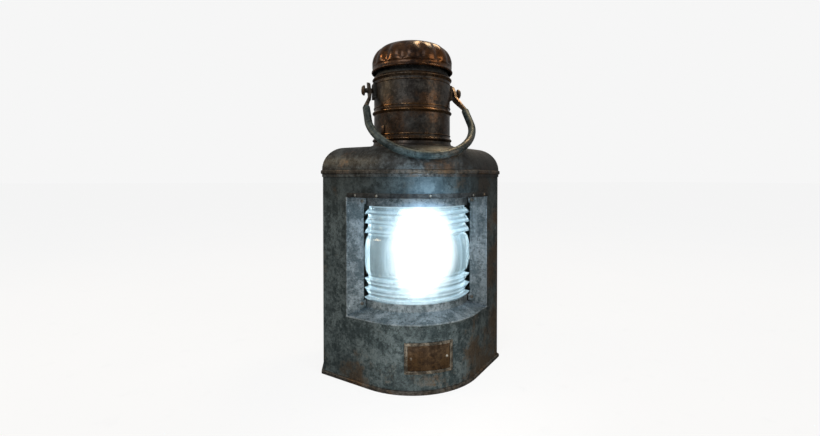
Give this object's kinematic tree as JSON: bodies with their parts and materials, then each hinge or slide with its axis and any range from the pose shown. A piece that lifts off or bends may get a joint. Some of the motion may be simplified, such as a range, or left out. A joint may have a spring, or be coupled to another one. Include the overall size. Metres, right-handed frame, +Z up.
{
  "type": "ship lantern",
  "caption": "Copper ship's lantern with a round-nosed case, a dioptric lens in a window niche, a chimney with a fluted cap, and a bail that swings over it.",
  "frame": {"origin": "on the common axis of nose, lens and chimney, in the plane the base stands on", "axes": "+Z up; the round nose and the lens face -Y; +X is to the right when seen from the front"},
  "size_m": [0.3088, 0.2336, 0.542],
  "materials": {
    "case_sheet": "oxidised copper sheet, dull grey green with brown edges",
    "roof_sheet": "oxidised copper sheet, brown grey with worn highlights",
    "chimney_sheet": "dark brown oxidised copper",
    "cap_sheet": "dark brown oxidised copper, gold where rubbed",
    "niche_sheet": "tinned sheet, lit by the lens",
    "bead_wire": "rolled copper edge",
    "plate_brass": "aged blank brass plate",
    "frame_brass": "raised brass frame, worn bright",
    "rivet_brass": "domed rivet and screw heads",
    "bail_bronze": "bronze rod, brown",
    "grip_sheet": "sheet sleeve, blue grey patina",
    "lens_glass": "pressed and ground dioptric glass",
    "bulb_glass": "frosted glass",
    "putty": "hard glazing putty",
    "door_sheet": "oxidised copper sheet",
    "hinge_brass": "brass hinge and latch",
    "hanger_iron": "black strap",
    "lamp_steel": "grey enamel",
    "reflector_plate": "plated reflector",
    "holder_ceramic": "white glazed ceramic",
    "block_plastic": "black moulded terminal block",
    "gland_brass": "turned brass gland"
  },
  "bodies": {
    "case": {"body_shell": "case_sheet", "base_plate": "case_sheet", "back_panel": "case_sheet", "drip_strip": "case_sheet", "roof": "roof_sheet", "rim_bead": "bead_wire", "base_bead": "bead_wire", "window_sill": "niche_sheet", "window_head": "niche_sheet", "reveal_left": "niche_sheet", "reveal_right": "niche_sheet", "lens_seat_lower": "niche_sheet", "lens_seat_upper": "niche_sheet", "lens_clips": "niche_sheet", "clip_screws": "rivet_brass", "drip_strip_rivets": "rivet_brass", "nameplate_rivets": "rivet_brass", "hanger_rivets": "rivet_brass", "nameplate": "plate_brass", "nameplate_frame": "frame_brass", "chimney_foot": "chimney_sheet", "chimney_tube": "chimney_sheet", "chimney_ring_lower": "chimney_sheet", "chimney_ring_middle": "chimney_sheet", "chimney_ring_upper": "chimney_sheet", "chimney_neck": "chimney_sheet", "chimney_baffle": "chimney_sheet", "bail_lug_left": "chimney_sheet", "bail_lug_right": "chimney_sheet", "cap": "cap_sheet", "cap_stays": "cap_sheet", "bail_pin_left": "bail_bronze", "bail_pin_right": "bail_bronze", "lens": "lens_glass", "bulb_glass": "bulb_glass", "lens_seal_lower": "putty", "lens_seal_upper": "putty", "hinge_leaf_case": "hinge_brass", "door_hinge_pin": "hinge_brass", "latch_stud": "hinge_brass", "hanger_lower": "hanger_iron", "hanger_upper": "hanger_iron", "lamp_post": "lamp_steel", "reflector": "reflector_plate", "lamp_holder": "holder_ceramic", "terminal_block": "block_plastic", "cable_gland": "gland_brass", "gland_nut": "gland_brass", "bulb_cap": "gland_brass"},
    "bail": {"bail_rod": "bail_bronze", "bail_grip": "grip_sheet"},
    "door": {"rear_door": "door_sheet", "hinge_leaf_door": "hinge_brass", "door_knob": "hinge_brass"},
    "turn_button": {"latch_button": "hinge_brass"}
  },
  "joints": [
    {"name": "bail_swing", "type": "hinge", "parent": "case", "child": "bail", "pos_m": [0, 0, 0.465], "axis": [-1, 0, 0], "range_deg": [0, 275]},
    {"name": "door_swing", "type": "hinge", "parent": "case", "child": "door", "pos_m": [-0.0975, 0.0852, 0.161], "axis": [0, 0, 1], "range_deg": [0, 110]},
    {"name": "latch_turn", "type": "hinge", "parent": "case", "child": "turn_button", "pos_m": [0.104, 0.0907, 0.161], "axis": [0, 1, 0], "range_deg": [0, 90]}
  ]
}
